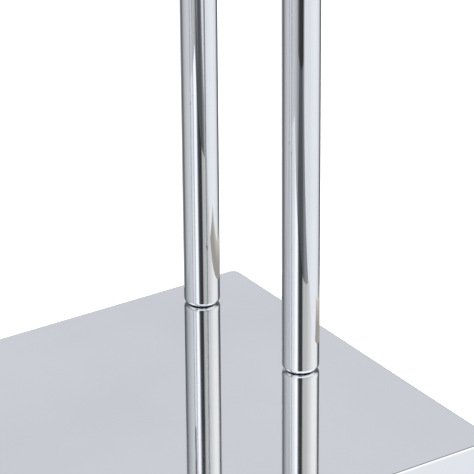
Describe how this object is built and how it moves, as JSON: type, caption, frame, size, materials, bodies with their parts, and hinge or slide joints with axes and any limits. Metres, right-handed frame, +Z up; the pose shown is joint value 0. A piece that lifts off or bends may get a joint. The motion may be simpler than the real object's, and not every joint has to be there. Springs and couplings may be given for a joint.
{
  "type": "trouser press",
  "caption": "Free-standing trouser press on a chromed base plate, with hairpin tube hoops, a sprung hinged press board, a tray and a jacket hanger.",
  "frame": {"origin": "on the floor under the middle of the base, at the underside of the rubber feet", "axes": "+X to the right as seen from the front, +Y towards the back board and the wall, +Z up; the front faces -Y"},
  "size_m": [0.48, 0.3, 1.1356],
  "materials": {
    "chrome": "polished chrome plate on steel, mirror bright",
    "ballast_steel": "satin black paint on plate steel",
    "zinc_steel": "bright zinc plated",
    "hinge_steel": "satin nickel plated steel",
    "spring_steel": "drawn spring wire, oiled",
    "foot_rubber": "moulded black rubber, matt",
    "seat_ring_rubber": "thin black rubber washer",
    "walnut": "dark walnut under satin lacquer",
    "press_cloth": "plain woven wool press cloth, grey",
    "liner_leather": "dark brown grained leather"
  },
  "bodies": {
    "stand": {"base_cover": "chrome", "side_hoop_left": "chrome", "side_hoop_right": "chrome", "rear_lower_rail": "chrome", "rear_upper_rail": "chrome", "top_rail": "chrome", "tray_rail_front": "chrome", "tray_rail_rear": "chrome", "hanger_sleeve": "chrome", "ballast_plate": "ballast_steel", "rubber_foot_front_left": "foot_rubber", "rubber_foot_front_right": "foot_rubber", "rubber_foot_rear_left": "foot_rubber", "rubber_foot_rear_right": "foot_rubber", "post_seat_ring_front_left": "seat_ring_rubber", "post_seat_ring_front_right": "seat_ring_rubber", "post_seat_ring_rear_left": "seat_ring_rubber", "post_seat_ring_rear_right": "seat_ring_rubber", "foot_screw_front_left": "zinc_steel", "foot_screw_front_right": "zinc_steel", "foot_screw_rear_left": "zinc_steel", "foot_screw_rear_right": "zinc_steel", "post_bolt_front_left": "zinc_steel", "post_bolt_front_right": "zinc_steel", "post_bolt_rear_left": "zinc_steel", "post_bolt_rear_right": "zinc_steel", "post_plug_front_left": "zinc_steel", "post_plug_front_right": "zinc_steel", "post_plug_rear_left": "zinc_steel", "post_plug_rear_right": "zinc_steel", "board_screw_lower_left": "zinc_steel", "board_screw_lower_right": "zinc_steel", "board_screw_upper_left": "zinc_steel", "board_screw_upper_right": "zinc_steel", "hinge_fixed_leaf_left": "hinge_steel", "hinge_fixed_leaf_right": "hinge_steel", "hinge_pin_left": "hinge_steel", "hinge_pin_right": "hinge_steel", "closing_spring_left": "spring_steel", "closing_spring_right": "spring_steel", "back_board": "walnut", "accessory_tray": "walnut", "back_pad": "press_cloth", "tray_liner": "liner_leather"},
    "press_front": {"front_board": "walnut", "front_pad": "press_cloth", "hinge_moving_leaf_left": "hinge_steel", "hinge_moving_leaf_right": "hinge_steel", "handle_screw_left": "zinc_steel", "handle_screw_right": "zinc_steel", "pull_handle": "chrome"},
    "hanger_post": {"hanger_stem": "chrome"},
    "hanger_arms": {"jacket_hanger": "walnut", "hanger_finial": "chrome"},
    "clamp": {"clamp_knob": "chrome"}
  },
  "joints": [
    {"name": "press_board_hinge", "type": "hinge", "parent": "stand", "child": "press_front", "pos_m": [0, 0.08835, 0.308], "axis": [1, 0, 0], "range_deg": [0, 25], "stiffness_Nm_per_rad": 6, "springref_deg": -57.3, "deforming": ["closing_spring_left", "closing_spring_right"]},
    {"name": "hanger_height", "type": "slide", "parent": "stand", "child": "hanger_post", "axis": [0, 0, 1], "range_m": [0, 0.04]},
    {"name": "hanger_swivel", "type": "hinge", "parent": "hanger_post", "child": "hanger_arms", "pos_m": [0, 0.06025, 1.1], "axis": [0, 0, 1], "range_deg": [-90, 90]},
    {"name": "clamp_knob_turn", "type": "hinge", "parent": "stand", "child": "clamp", "pos_m": [0, 0.03475, 1.035], "axis": [0, -1, 0], "range_deg": [0, 180]}
  ]
}
